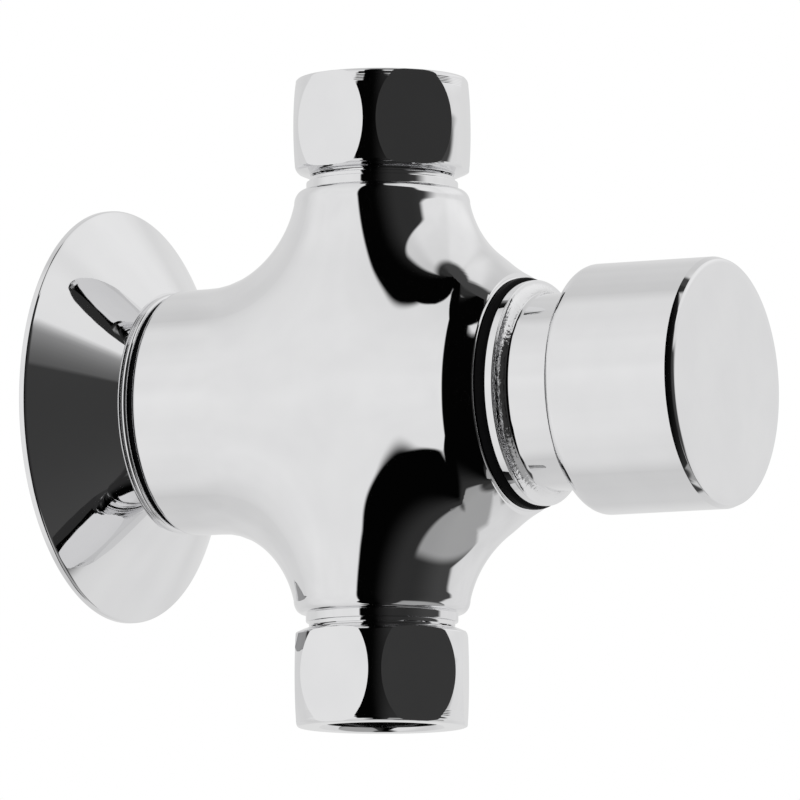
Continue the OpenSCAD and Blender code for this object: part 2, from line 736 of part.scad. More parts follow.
// Return spring between the bonnet and the button's roof: one round wire swept along a helix
spring_seat = 0.1;
curl_rings = 8;
wire_sides = 6;
spring_low = web_front + wire_r + spring_seat;
spring_high = button_roof - wire_r - spring_seat;
spring_rings = spring_turns * curl_rings;
function spring_point(i) =
  let (a = 360 * i / curl_rings)
  [spring_r * cos(a), spring_r * sin(a), spring_low + (spring_high - spring_low) * i / spring_rings];
spring_self_gap = min([
  for (i = [0:spring_rings]) for (j = [i + curl_rings - 2:1:min(i + curl_rings + 2, spring_rings)])
    norm(spring_point(j) - spring_point(i)) - 2 * wire_r
]);
echo(spring_self_gap = spring_self_gap);
module return_spring() {
  points = [for (i = [0:spring_rings]) for (s = [0:wire_sides - 1])
    let (a = 360 * i / curl_rings, b = 360 * s / wire_sides)
    spring_point(i) + wire_r * [cos(b) * cos(a), cos(b) * sin(a), sin(b)]];
  function at(i, s) = i * wire_sides + s % wire_sides;
  sides = [for (i = [0:spring_rings - 1]) for (s = [0:wire_sides - 1]) each [
    [at(i, s), at(i, s + 1), at(i + 1, s + 1)],
    [at(i, s), at(i + 1, s + 1), at(i + 1, s)]
  ]];
  starts = [for (s = [1:wire_sides - 2]) [0, s + 1, s]];
  last = spring_rings * wire_sides;
  ends = [for (s = [1:wire_sides - 2]) [last, last + s, last + s + 1]];
  color("gainsboro") along_axis() polyhedron(points = points, faces = concat(sides, starts, ends));
}

valve_body();
wall_flange();
flange_gasket();
flange_locknut();
inlet_nut();
inlet_gasket();
inlet_strainer();
outlet_nut();
outlet_gasket();
flow_limiter();
bonnet();
bonnet_gasket();
stem_bush();
stem_seal_ring();
timing_needle();
cartridge_cage();
valve_seat();
seat_seal_ring();
push_button();
jam_nut();
stem();
piston();
piston_seal();
piston_clip();
valve_disc();
valve_washer();
valve_nut();
return_spring();
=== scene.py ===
# %% [markdown]
# # A push timed tap for the wall
# The tap is a chromed brass cross. Its rear arm stands on a bell-shaped wall flange, its two upright arms
# end in union nuts for the pipes, and its front arm carries a bonnet with a push button. The solids of the
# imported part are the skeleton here: this lesson dresses them with finer meshes, finishes, light and a
# camera.

import math

import bmesh
import bpy
import numpy as np
from mathutils import Matrix, Vector


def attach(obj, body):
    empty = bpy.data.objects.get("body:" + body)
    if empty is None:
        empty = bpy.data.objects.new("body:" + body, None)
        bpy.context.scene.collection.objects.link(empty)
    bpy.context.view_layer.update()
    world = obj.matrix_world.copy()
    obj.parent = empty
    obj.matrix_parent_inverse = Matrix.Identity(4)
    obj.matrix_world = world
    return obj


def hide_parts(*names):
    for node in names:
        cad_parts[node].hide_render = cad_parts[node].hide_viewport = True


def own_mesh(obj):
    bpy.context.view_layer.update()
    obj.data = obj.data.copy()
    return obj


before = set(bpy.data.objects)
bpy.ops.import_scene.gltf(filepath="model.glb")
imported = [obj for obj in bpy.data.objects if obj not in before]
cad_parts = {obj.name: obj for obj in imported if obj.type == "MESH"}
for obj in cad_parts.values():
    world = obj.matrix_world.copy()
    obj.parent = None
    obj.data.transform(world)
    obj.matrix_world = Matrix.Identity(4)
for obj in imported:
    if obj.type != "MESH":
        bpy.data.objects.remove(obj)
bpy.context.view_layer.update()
MM = 0.001
print("pieces of the packed part:", len(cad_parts))

# %% [markdown]
# ## The camera
# The tap was photographed from its left, from a little below, through a long lens: parallel edges hardly
# draw together. Angles round the tap are easier to think in than coordinates, so one small function turns
# an azimuth and an elevation into a direction. Azimuth 0 is straight in front of the button, and minus
# angles are to its left.

# %% Camera
CAMERA_AZIMUTH = -62.55
CAMERA_ELEVATION = -6.4
CAMERA_DISTANCE = 2.0
CAMERA_LENS = 472.5
AIM = Vector((0, -57.08, 0)) * MM
AIM_SHIFT = (3.33 * MM, 0.42 * MM)


def direction(azimuth, elevation):
    """Unit vector from the tap towards a place round it, from two angles in degrees."""
    a, e = math.radians(azimuth), math.radians(elevation)
    return Vector((math.cos(e) * math.sin(a), -math.cos(e) * math.cos(a), math.sin(e)))


back = direction(CAMERA_AZIMUTH, CAMERA_ELEVATION)
right = direction(CAMERA_AZIMUTH + 90, 0)
up = back.cross(right)
camera = bpy.data.objects.new("camera", bpy.data.cameras.new("camera"))
bpy.context.scene.collection.objects.link(camera)
camera.data.lens = CAMERA_LENS
camera.matrix_world = Matrix((right, up, back)).transposed().to_4x4()
camera.location = AIM + back * CAMERA_DISTANCE + right * AIM_SHIFT[0] + up * AIM_SHIFT[1]
bpy.context.scene.camera = camera
print("camera at", [round(x, 3) for x in camera.location])

# %% [markdown]
# ## Sums with shader sockets
# A finish is a small sum: this much haze, plus that much where a noise is high. Written with node calls, a
# sum of three terms takes a screen of code, so one class wraps a socket and lets Python's own operators
# add the nodes. Every node that isn't a sum comes from its `add` method.

# %% Shader sums


class Shade:
    """A socket of a node tree that Python's operators can do sums with."""

    def __init__(self, tree, socket=None):
        self.tree = tree
        self.socket = socket

    def add(self, kind, settings=None, inputs=None, output=0):
        """Adds a node: its settings first, then the values or links of its inputs."""
        node = self.tree.nodes.new(kind)
        for name, value in (settings or {}).items():
            setattr(node, name, value)
        for key, value in (inputs or {}).items():
            if isinstance(value, Shade):
                self.tree.links.new(value.socket, node.inputs[key])
            else:
                node.inputs[key].default_value = value
        return Shade(self.tree, node.outputs[output] if len(node.outputs) else None)

    def math(self, operation, *values):
        return self.add("ShaderNodeMath", {"operation": operation}, dict(enumerate(values)))

    def __add__(self, other):
        return self.math("ADD", self, other)

    def __radd__(self, other):
        return self.math("ADD", other, self)

    def __sub__(self, other):
        return self.math("SUBTRACT", self, other)

    def __rsub__(self, other):
        return self.math("SUBTRACT", other, self)

    def __mul__(self, other):
        return self.math("MULTIPLY", self, other)

    def __rmul__(self, other):
        return self.math("MULTIPLY", other, self)

    def __pow__(self, other):
        return self.math("POWER", self, other)

    def smooth(self, low, high):
        """0 below low, 1 above high, and a soft step between them."""
        values = {"Value": self, "From Min": low, "From Max": high}
        return self.add("ShaderNodeMapRange", {"interpolation_type": "SMOOTHSTEP"}, values)

    def between(self, low, high, soft):
        """1 between two values, fading to 0 over a width outside them."""
        return self.smooth(low - soft, low) * (1 - self.smooth(high, high + soft))

    def tint(self, dark, light):
        """A colour between two, by this value."""
        values = {0: self, 6: (*dark, 1), 7: (*light, 1)}
        return self.add("ShaderNodeMix", {"data_type": "RGBA"}, values, output=2)


print("shader sums ready")

# %% [markdown]
# ## The studio
# Polished chrome has hardly a colour of its own: it shows the room. Lamps and panels could stand round the
# tap, but the world can be painted by direction as well, and then nothing has to be hidden from the
# camera. Every ray has an azimuth and an elevation, and soft steps between angles draw the parts of a
# room.

# %% Directions of the world
world = bpy.data.worlds.new("studio")
bpy.context.scene.world = world
world.use_nodes = True
world.node_tree.nodes.clear()
start = Shade(world.node_tree)
ray = start.add("ShaderNodeTexCoord", output="Generated")
x, y, z = (start.add("ShaderNodeSeparateXYZ", inputs={0: ray}, output=i) for i in range(3))
azimuth = start.math("ARCTAN2", x, 0 - y) * math.degrees(1)
elevation = start.math("ARCSINE", z) * math.degrees(1)
print("directions of the world:", len(world.node_tree.nodes), "nodes")

# %% [markdown]
# The dark side of the room is where the camera stands. It lies between a left and a right edge, and both
# move with the height, which bends the borders of the dark shapes on the chrome. Straight up, straight
# down and low on the right the room is dark as well. The dark isn't quite black: it pales to the right,
# and low down a grey floor shows in it. All places are angles in degrees.

# %% Dark side
LEFT_EDGE = -97
LEFT_BLUR = 1.5
RIGHT_EDGE = 28
RIGHT_BLUR = 4.5
# The right edge moves by an angle between two heights
RIGHT_MOVES = ((8, -20, -4), (-34, 9, 17), (-15, 25, 33), (-47, 46, 64))
BLACK = 0.001
GREY_FLOOR = 0.33

low = 1 - elevation.smooth(-46, -34)
left_edge = LEFT_EDGE - 1.4 * start.math("MAXIMUM", elevation - 60, 0) - 8 * low
right_edge = RIGHT_EDGE + 38 * low
for move, from_height, to_height in RIGHT_MOVES:
    right_edge = right_edge + move * elevation.smooth(from_height, to_height)
fade = RIGHT_BLUR + 8 * elevation.between(10, 26, 6)
dark_side = (azimuth - left_edge).smooth(-LEFT_BLUR, LEFT_BLUR)
dark_side = dark_side * (1 - start.math("DIVIDE", azimuth - right_edge, fade).smooth(-1, 1))
poles = elevation.smooth(77, 82) + 1 - elevation.smooth(-82, -74)
low_right = azimuth.between(86, 130, 8) * (1 - elevation.smooth(-66, -60))
dark_side = start.math("MAXIMUM", dark_side, start.math("MAXIMUM", poles, low_right))
dusk = BLACK + 0.03 * azimuth.smooth(-78, -45) + 0.03 * azimuth.smooth(-30, 15)
floor_part = azimuth.between(-30, 66, 8) * elevation.smooth(-84, -80) * (1 - elevation.smooth(-47, -37))
dusk = dusk + GREY_FLOOR * floor_part
print("dark side:", len(RIGHT_MOVES), "moves of its right edge")

# %% [markdown]
# The rest of the room is bright. A panel hangs high in front of the tap, a window stands on the left
# beside the wall, and slow drifts of light keep large plain surfaces from looking painted. Light Path
# tells who asks: the camera and clear things see plain white, chrome sees the room, and what isn't
# polished gets an even light.

# %% Bright side and world
WALL_LIGHT = 0.69
PLAIN_LIGHT = 0.75
panel = azimuth.between(-22, 75, 25) * elevation.between(28, 75, 12)
window = azimuth.between(-150, -95, 40)
right_wall = azimuth.between(40, 80, 15)
drift = start.add("ShaderNodeTexNoise", inputs={"Vector": ray, "Scale": 2.2, "Detail": 2.0})
bright = WALL_LIGHT + 0.14 * drift + 0.13 * window + 0.13 * panel + 0.06 * right_wall
bright = bright - 0.05 * (elevation * 0.02) ** 2
room = bright - (bright - dusk) * dark_side

camera_ray = start.add("ShaderNodeLightPath", output="Is Camera Ray")
glossy_ray = start.add("ShaderNodeLightPath", output="Is Glossy Ray")
clear_ray = start.add("ShaderNodeLightPath", output="Is Transmission Ray")
plain_white = start.math("MAXIMUM", camera_ray, clear_ray)
strength = plain_white + (1 - plain_white) * (glossy_ray * room + (1 - glossy_ray) * PLAIN_LIGHT)
background = start.add("ShaderNodeBackground", inputs={"Color": (1, 1, 1, 1), "Strength": strength})
start.add("ShaderNodeOutputWorld", inputs={"Surface": background})
bpy.context.scene.view_settings.view_transform = "Standard"
print("studio world:", len(world.node_tree.nodes), "nodes")

# %% [markdown]
# ## Finishes
# Each finish is one function that returns a material. A few helpers keep those functions short: a material
# with one shader, a noise whose blotches have a size in millimetres, and a bump that has a real depth.

# %% Helpers for finishes


def new_finish(name, constants):
    """A material with one Principled shader, whose constant values are set on its own sockets."""
    material = bpy.data.materials.new(name)
    material.use_nodes = True
    shader = material.node_tree.nodes["Principled BSDF"]
    for socket, value in constants.items():
        shader.inputs[socket].default_value = value
    start = Shade(material.node_tree)
    place = start.add("ShaderNodeTexCoord", output="Object")
    return material, shader, start, place


def noise(start, place, size, detail=2.0):
    """Soft noise whose blotches are about this size, in millimetres."""
    values = {"Vector": place, "Scale": 1 / (size * MM), "Detail": detail}
    return start.add("ShaderNodeTexNoise", {"noise_dimensions": "3D"}, values)


def bump(start, height, depth):
    """A normal that follows a height between 0 and 1, of this depth in millimetres."""
    return start.add("ShaderNodeBump", inputs={"Strength": 1.0, "Distance": depth * MM, "Height": height})


def feed(shader, start, **values):
    """Links each value to the shader's input of that name."""
    for name, value in values.items():
        start.tree.links.new(value.socket, shader.inputs[name.replace("_", " ")])


print("helpers for finishes ready")

# %% [markdown]
# Chrome is a mirror with a breath of haze. Hand polishing leaves a casting slightly uneven, which makes
# reflected edges wander a little, so a wide and shallow bump goes under the mirror. A polishing wheel
# doesn't reach into the bonnet's hollow rounding, and there fine pits break the mirror up.

# %% Chrome
CHROME = ((0.80, 0.80, 0.81), (0.86, 0.86, 0.865))
CLOUD_SIZE = 9
POLISH_SIZE = 14
PIT_SIZE = 0.8
PIT_DEPTH = 0.12
HOLLOW_FADE = 0.25


def chrome(name, unevenness):
    """Polished chrome; unevenness is the depth of the polisher's hollows, in millimetres."""
    material, shader, start, place = new_finish(name, {"Metallic": 1.0})
    cloud = noise(start, place, CLOUD_SIZE)
    haze = noise(start, place, 1.3, 4.0)
    feed(
        shader,
        start,
        Base_Color=cloud.tint(*CHROME),
        Roughness=0.018 + 0.03 * haze**3,
        Normal=bump(start, noise(start, place, POLISH_SIZE, 1.0), unevenness),
    )
    return material


def chrome_with_hollow(name, low, high):
    """Polished chrome whose hollow rounding, between two distances from the wall, is left pitted."""
    material, shader, start, place = new_finish(name, {"Metallic": 1.0})
    y = start.add("ShaderNodeSeparateXYZ", inputs={0: place}, output="Y")
    rough = (0 - y).between(low * MM, high * MM, HOLLOW_FADE * MM)
    pits = noise(start, place, PIT_SIZE, 3.0)
    cloud = noise(start, place, CLOUD_SIZE)
    feed(
        shader,
        start,
        Base_Color=cloud.tint(*CHROME),
        Roughness=0.02 + 0.06 * rough * pits,
        Normal=bump(start, pits * rough, PIT_DEPTH),
    )
    return material


finishes = {
    "chrome_cast": chrome("chrome_cast", 0.05),
    "chrome_turned": chrome("chrome_turned", 0.012),
    "chrome_bonnet": chrome_with_hollow("chrome_bonnet", 91.5, 92.7),
}
print("chrome:", ", ".join(finishes))

# %% [markdown]
# Moulded rubber is black with a fine grain, and the outer rings have almost no shine. Brass and steel come
# straight from the lathe, with fine rings round the axis that they were turned on. Moulded plastic has a
# faint flow pattern. All of them read the place on the object, so nothing slides when a piece moves.

# %% Rubber, turned metal and plastic
PIPE_AXIS = 57.0
LATHE_FEED = 0.35
RUBBER = ((0.002, 0.002, 0.0022), (0.006, 0.006, 0.0064))
BRASS = ((0.50, 0.34, 0.12), (0.72, 0.53, 0.23))
STEEL = ((0.42, 0.43, 0.44), (0.62, 0.63, 0.65))
IVORY = ((0.62, 0.60, 0.53), (0.78, 0.76, 0.69))


def rubber(name, roughness, shine):
    """Black moulded rubber with a fine grain."""
    material, shader, start, place = new_finish(name, {"Metallic": 0.0, "Specular IOR Level": shine})
    grain = noise(start, place, 0.35, 3.0)
    feed(
        shader,
        start,
        Base_Color=grain.tint(*RUBBER),
        Roughness=roughness + 0.15 * grain,
        Normal=bump(start, grain, 0.01),
    )
    return material


def turned_metal(name, tints, roughness, axis):
    """Metal straight from the lathe, with fine rings round the button's axis or the pipe axis."""
    material, shader, start, place = new_finish(name, {"Metallic": 1.0})
    x, y, z = (start.add("ShaderNodeSeparateXYZ", inputs={0: place}, output=i) for i in range(3))
    along = y if axis == "button" else z
    across = z if axis == "button" else y + PIPE_AXIS * MM
    radius = start.math("SQRT", x * x + across * across)
    rings = start.math("SINE", (radius + along) * (2 * math.pi / (LATHE_FEED * MM)))
    stain = noise(start, place, 3.0, 3.0)
    feed(
        shader,
        start,
        Base_Color=stain.tint(*tints),
        Roughness=roughness + 0.12 * stain,
        Normal=bump(start, rings * 0.5 + 0.5, 0.006),
    )
    return material


def plastic(name, tints):
    """Moulded plastic with a faint flow pattern."""
    material, shader, start, place = new_finish(name, {"Metallic": 0.0})
    flow = noise(start, place, 4.0, 2.0)
    grain = noise(start, place, 0.3, 2.0)
    feed(
        shader,
        start,
        Base_Color=flow.tint(*tints),
        Roughness=0.38 + 0.16 * grain,
        Normal=bump(start, grain, 0.006),
    )
    return material


finishes |= {
    "rubber_ring": rubber("rubber_ring", 0.3, 0.01),
    "rubber_seal": rubber("rubber_seal", 0.5, 0.4),
    "brass_turned": turned_metal("brass_turned", BRASS, 0.22, "button"),
    "steel_turned": turned_metal("steel_turned", STEEL, 0.24, "button"),
    "steel_pressed": turned_metal("steel_pressed", STEEL, 0.3, "pipe"),
    "plastic_ivory": plastic("plastic_ivory", IVORY),
}
print("finishes:", ", ".join(finishes))

# %% [markdown]
# ## From a mesh to a piece
# Every new mesh becomes a piece in the same way: shade it smooth apart from edges that really are sharp,
# give it a finish, let it ride on its moving body and hide the solids that it stands for.

# %% Pieces
SHARP = math.radians(32)


def piece(name, bm, finish, slot, body, *nodes, sharp=SHARP):
    """Makes an object of a mesh, links it into the scene, hangs it on its body and hides the solids it
    stands for.
    """
    bmesh.ops.recalc_face_normals(bm, faces=bm.faces)
    for face in bm.faces:
        face.smooth = True
    for edge in bm.edges:
        edge.smooth = len(edge.link_faces) == 2 and edge.calc_face_angle() < sharp
    mesh = bpy.data.meshes.new(name)
    bm.to_mesh(mesh)
    open_edges = sum(len(edge.link_faces) != 2 for edge in bm.edges)
    bm.free()
    mesh.materials.append(finishes[finish])
    made = bpy.data.objects.new(name, mesh)
    bpy.context.scene.collection.objects.link(made)
    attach(made, body)
    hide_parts(*nodes)
    print(name, len(mesh.polygons), "faces,", open_edges, "open edges")
    return made


print("edges sharper than", round(math.degrees(SHARP)), "degrees stay sharp")

# %% [markdown]
# ## Turned pieces
# Most of the tap came off a lathe: a flat outline, spun round an axis. An outline is a list of corners,
# each a radius, a place along the axis and the rounding of that corner. A chord just before and after each
# arc keeps the flat faces flat when the shading is smoothed, because a mirror shows every bend in the
# normals.

# %% Turned outlines
BUTTON = (Vector((0, 0, 0)), Vector((0, -1, 0)), Vector((1, 0, 0)))
PIPE = (Vector((0, -PIPE_AXIS, 0)) * MM, Vector((0, 0, 1)), Vector((1, 0, 0)))
PIPE_DOWN = (PIPE[0], Vector((0, 0, -1)), Vector((1, 0, 0)))
ARC_STEPS = 7
HOLD = 0.35
SAME = 1e-7


def arc(centre, radii, angles):
    """Corners without rounding along an arc, or part of an ellipse, round a centre (radius, place)."""
    return [(centre[0] + radii[0] * math.cos(a), centre[1] + radii[1] * math.sin(a), 0) for a in angles]


def rounded(corners):
    """Points of an outline whose corners (radius, place, rounding) are replaced by arcs."""
    points = []
    for i, (r, d, rounding) in enumerate(corners):
        here = Vector((r, d))
        if not rounding:
            points.append(here)
            continue
        to_last = (Vector(corners[i - 1][:2]) - here).normalized()
        to_next = (Vector(corners[(i + 1) % len(corners)][:2]) - here).normalized()
        half = to_last.angle(to_next) / 2
        run = rounding / math.tan(half)
        centre = here + (to_last + to_next).normalized() * (rounding / math.sin(half))
        first, last = here + to_last * run - centre, here + to_next * run - centre
        sweep = math.pi - 2 * half
        points.append(here + to_last * (run + HOLD * rounding))
        for k in range(ARC_STEPS + 1):
            share = k / ARC_STEPS
            arm = first * math.sin((1 - share) * sweep) + last * math.sin(share * sweep)
            points.append(centre + arm / math.sin(sweep))
        points.append(here + to_next * (run + HOLD * rounding))
    return points


def turned(corners, axis, steps=200):
    """Rounds an outline, in millimetres, and spins it round an axis."""
    origin, along, across = axis
    bm = bmesh.new()
    verts = [bm.verts.new(origin + (across * r + along * d) * MM) for r, d in rounded(corners)]
    edges = [bm.edges.new((verts[i - 1], verts[i])) for i in range(len(verts))]
    bmesh.ops.spin(
        bm, geom=verts + edges, cent=origin, axis=along, angle=2 * math.pi, steps=steps, use_merge=True
    )
    bmesh.ops.remove_doubles(bm, verts=bm.verts, dist=SAME)
    loose = [edge for edge in bm.edges if not edge.link_faces]
    bmesh.ops.delete(bm, geom=loose, context="EDGES")
    return bm


print("lathe ready, with", ARC_STEPS, "steps to a rounding")

# %% [markdown]
# ## The wall flange
# The flange is a bell spun from sheet: a thin rolled rim on the wall, a straight cone and a bead where it
# meets the body. It is hollow, and its back shows from behind, so the outline runs round both sides of the
# sheet.

# %% Wall flange
FLANGE_R = 39.8
FLANGE_DEPTH = 14.0
FLANGE_PLATE = 12.6
FINE_STEPS = 240
RIM_H = 1.3
RIM_BACK = 1.9
RIM_SHEET = 0.75
CONE_END = (23.45, 12.42)
CONE_INSIDE_R = 20.8
SPIGOT_HOLE_R = 13.3
BEAD_R = 0.65
BEAD_AT = 22.55
rim = [(FLANGE_R - RIM_BACK, 0, 0.3), (FLANGE_R, 0, 0.25), (FLANGE_R, RIM_H, 0.7)]
cone = [(*CONE_END, 0.12), (BEAD_AT + 0.2, FLANGE_PLATE, 0.05)]
bead = arc((BEAD_AT, FLANGE_DEPTH - BEAD_R), (BEAD_R, BEAD_R), np.radians(range(-70, 91, 20)))
hole = [(SPIGOT_HOLE_R, FLANGE_DEPTH, 0.2), (SPIGOT_HOLE_R, FLANGE_PLATE, 0.2)]
bell_inside = [(CONE_INSIDE_R, FLANGE_PLATE, 0.6), (FLANGE_R - RIM_BACK, RIM_SHEET, 0.3)]
flange = turned(rim + cone + bead + hole + bell_inside, BUTTON, FINE_STEPS)
piece("bell_flange", flange, "chrome_turned", "chrome", "tap", "wall_flange")

# %% [markdown]
# ## Black rings
# A thin ring lies between flange and body, and a thicker one is squeezed between the body's rim and the
# bonnet. Both are plain turned rings. Their edges are rounded, because a sharp black edge would look cut
# from paper.

# %% Black rings
BODY_REAR = 15.0
BODY_FRONT = 87.7
BONNET_REAR = 89.6
FLANGE_RING_R = 22.3
BONNET_RING_R = 22.0
BONNET_RING_HOLE_R = 17.8


def black_ring(hole_r, outer_r, rear, front, hole_edge, outer_edge):
    """A ring with rounded edges between two places along the button's axis."""
    corners = [(hole_r, rear, hole_edge), (outer_r, rear, outer_edge)]
    corners += [(outer_r, front, outer_edge), (hole_r, front, hole_edge)]
    return turned(corners, BUTTON)


flange_ring = black_ring(SPIGOT_HOLE_R, FLANGE_RING_R, FLANGE_DEPTH, BODY_REAR, 0.1, 0.3)
piece("flange_ring", flange_ring, "rubber_ring", "rubber", "tap", "flange_gasket")
bonnet_ring = black_ring(BONNET_RING_HOLE_R, BONNET_RING_R, BODY_FRONT, BONNET_REAR, 0.2, 0.6)
piece("bonnet_ring", bonnet_ring, "rubber_ring", "rubber", "tap", "bonnet_gasket")

# %% [markdown]
# ## The body casting
# Two tubes cross and melt into each other with a round blend. A formula says how far a point is outside
# the two tubes and the blend, and every point of the casting can be seen from the crossing. So the mesh
# starts as a fine sphere at the crossing, and each of its points slides out along its own ray until the
# formula gives nought.

# %% Casting: the skin
ARM_R = 23.6
PIPE_ARM_R = 16.4
BLEND_R = 19.0
FRONT_ARM = 30.7
NOSE_LEN = 7.0
NOSE_SLOPE = math.radians(13)
NOSE_R = 8.0
NOSE_START = FRONT_ARM - NOSE_LEN
SKIN_COLUMNS = 300
SKIN_ROWS = 220
HALVINGS = 26
NEAREST = 5.0
FARTHEST = 72.0


def arm_radius(t):
    """Radius of the horizontal arms at a distance in front of the pipe axis."""
    bend = NOSE_R * math.sin(NOSE_SLOPE)
    on_bend = ARM_R - NOSE_R + np.sqrt(NOSE_R**2 - np.clip(t - NOSE_START, 0, bend) ** 2)
    on_cone = np.maximum(t - NOSE_START - bend, 0) * math.tan(NOSE_SLOPE)
    return np.maximum(on_bend - on_cone, PIPE_ARM_R / 2)


def outside(x, t, z):
    """How far a point is outside the casting; below nought, it is inside."""
    across = np.hypot(x, z) - arm_radius(t)
    upright = np.hypot(x, t) - PIPE_ARM_R
    u, v = np.maximum(BLEND_R - across, 0), np.maximum(BLEND_R - upright, 0)
    return np.maximum(BLEND_R, np.minimum(across, upright)) - np.hypot(u, v)


def reach_out(point_at, count):
    """How far each of some rays runs inside the casting, found by halving."""
    near, far = np.full(count, NEAREST), np.full(count, FARTHEST)
    for _ in range(HALVINGS):
        middle = (near + far) / 2
        inside = outside(*point_at(middle)) < 0
        near, far = np.where(inside, middle, near), np.where(inside, far, middle)
    return near


body = bmesh.new()
bmesh.ops.create_uvsphere(body, u_segments=SKIN_COLUMNS, v_segments=SKIN_ROWS, radius=1.0)
ways = np.array([v.co.normalized() for v in body.verts])
reaches = reach_out(lambda far: (ways[:, 0] * far, -ways[:, 1] * far, ways[:, 2] * far), len(ways))
for vert, way, reach in zip(body.verts, ways, reaches):
    vert.co = PIPE[0] + Vector(way) * float(reach) * MM
print("casting skin:", len(body.faces), "faces")

# %% [markdown]
# ## The turned ends of the casting
# A lathe then faces the four arms. Each end is cut with a plane, which leaves an open ring of edges, and
# the ring is extended step by step: round the edge, across the face, out along a collar, into a bore. A
# step says which radius the ring draws towards and how much of its old difference it keeps, so a ring that
# isn't quite round becomes round on the way.

# %% Casting: tools for the ends
NEAR = 0.08


def cut(bm, axis, place):
    """Cuts off what lies past a place along an axis and returns the ring of open edges."""
    origin, along, _ = axis
    everything = list(bm.verts) + list(bm.edges) + list(bm.faces)
    point = origin + along * place * MM
    done = bmesh.ops.bisect_plane(bm, geom=everything, plane_co=point, plane_no=along, clear_outer=True)
    ring_verts = [e for e in done["geom_cut"] if isinstance(e, bmesh.types.BMVert)]
    bmesh.ops.remove_doubles(bm, verts=ring_verts, dist=NEAR * MM)
    level = {v for v in bm.verts if abs((v.co - point).dot(along)) < SAME}
    return [e for e in bm.edges if len(e.link_faces) == 1 and set(e.verts) <= level]


def next_ring(bm, ring):
    """Extrudes a ring of edges and returns the vertices and edges of the new ring."""
    made = bmesh.ops.extrude_edge_only(bm, edges=ring)["geom"]
    verts = [v for v in made if isinstance(v, bmesh.types.BMVert)]
    fresh = set(verts)
    return verts, [e for e in made if isinstance(e, bmesh.types.BMEdge) and set(e.verts) <= fresh]


def extend(bm, ring, axis, steps):
    """Extends a ring through steps of (radius, place, share of the old difference that is kept)."""
    origin, along, _ = axis
    for radius, place, kept in steps:
        verts, ring = next_ring(bm, ring)
        for vert in verts:
            offset = vert.co - origin
            spoke = offset - along * offset.dot(along)
            length = radius * MM + (spoke.length - radius * MM) * kept
            vert.co = origin + along * place * MM + spoke.normalized() * length
    return ring


def follow(bm, ring, places):
    """Extends a ring along the button's axis to places on the casting's own formula."""
    for place in places:
        verts, ring = next_ring(bm, ring)
        spokes = np.array([(v.co.x, v.co.z) for v in verts])
        spokes /= np.linalg.norm(spokes, axis=1)[:, None]
        ahead = np.full(len(verts), place - PIPE_AXIS)
        radii = reach_out(lambda far: (spokes[:, 0] * far, ahead, spokes[:, 1] * far), len(verts))
        for vert, (x, z), radius in zip(verts, spokes, radii):
            vert.co = Vector((x * radius, -place, z * radius)) * MM
    return ring


def exact(*corners):
    """Steps at (radius, place) that keep nothing of the ring's old difference."""
    return [(radius, place, 0) for radius, place in corners]


print("tools for the ends ready")

# %% [markdown]
# The rear arm ends in a flat face, and a spigot stands out of it through the flange to the wall. The hole
# in the spigot takes the stud that holds the tap. A last bore step is closed with one flat face, so the
# casting stays a closed shell.

# %% Casting: the rear end
REAR_CUT = 30.0
REAR_PLACES = (27, 24, 21, 18.5, 17)
REAR_EDGE = 1.2
ROUND_STEPS = 8
REAR_SPIGOT_R = 13.0
REAR_SPIGOT_EDGE = 0.6
STUD_HOLE_R = 3.4
STUD_HOLE_EDGE = 0.5
STUD_HOLE_DEPTH = 22.0
quarter = np.linspace(0, math.pi / 2, ROUND_STEPS)
rear = cut(body, (BUTTON[0], -BUTTON[1], BUTTON[2]), -REAR_CUT)
rear = follow(body, rear, (*REAR_PLACES, BODY_REAR + REAR_EDGE + 0.3))
rear_edge = arc((ARM_R - REAR_EDGE, BODY_REAR + REAR_EDGE), (REAR_EDGE, -REAR_EDGE), quarter)
rear = extend(body, rear, BUTTON, rear_edge)
rear = extend(body, rear, BUTTON, exact(
    (REAR_SPIGOT_R, BODY_REAR), (REAR_SPIGOT_R, BODY_REAR - 0.3), (REAR_SPIGOT_R, REAR_SPIGOT_EDGE),
    (REAR_SPIGOT_R - REAR_SPIGOT_EDGE, 0), (STUD_HOLE_R + STUD_HOLE_EDGE, 0), (STUD_HOLE_R, STUD_HOLE_EDGE),
    (STUD_HOLE_R, STUD_HOLE_DEPTH)))
bmesh.ops.edgeloop_fill(body, edges=rear)
print("rear end turned:", len(body.faces), "faces")

# %% [markdown]
# The front arm bends into a short cone. The bend gets close rings, because the long dark reflection on the
# front of the tap begins there. Behind the cone's rim lie the bores for the bonnet's thread, the cartridge
# and the valve.

# %% Casting: the front end
FRONT_EDGE = 0.5
BEFORE_NOSE = 2.2
BEND_PLACES = (-1.6, -1.1, -0.7, -0.35, -0.1, 0.15, 0.4, 0.7, 1.0, 1.3, 1.6, 1.9, 2.3, 2.8)
CONE_PLACES = (3.4, 4.1, 5.0, 5.9, NOSE_LEN - FRONT_EDGE)
BONNET_THREAD_R = 17.5
SHANK_END = 73.0
CAGE_HOLE_R = 15.5
SEAT_SHELF = 59.0
SEAT_HOLE_R = 10.0
SEAT_HOLE_END = 36.5
nose = PIPE_AXIS + NOSE_START
rim_at = FRONT_ARM - FRONT_EDGE * (1 - math.sin(NOSE_SLOPE))
rim_r = float(arm_radius(rim_at)) + FRONT_EDGE * (1 - math.cos(NOSE_SLOPE))
from_slope = np.linspace(NOSE_SLOPE, math.pi / 2, ROUND_STEPS)
front = cut(body, BUTTON, nose - BEFORE_NOSE)
front = follow(body, front, [nose + place for place in BEND_PLACES + CONE_PLACES])
front_edge = arc((rim_r - FRONT_EDGE, BODY_FRONT - FRONT_EDGE), (FRONT_EDGE, FRONT_EDGE), from_slope)
front = extend(body, front, BUTTON, front_edge)
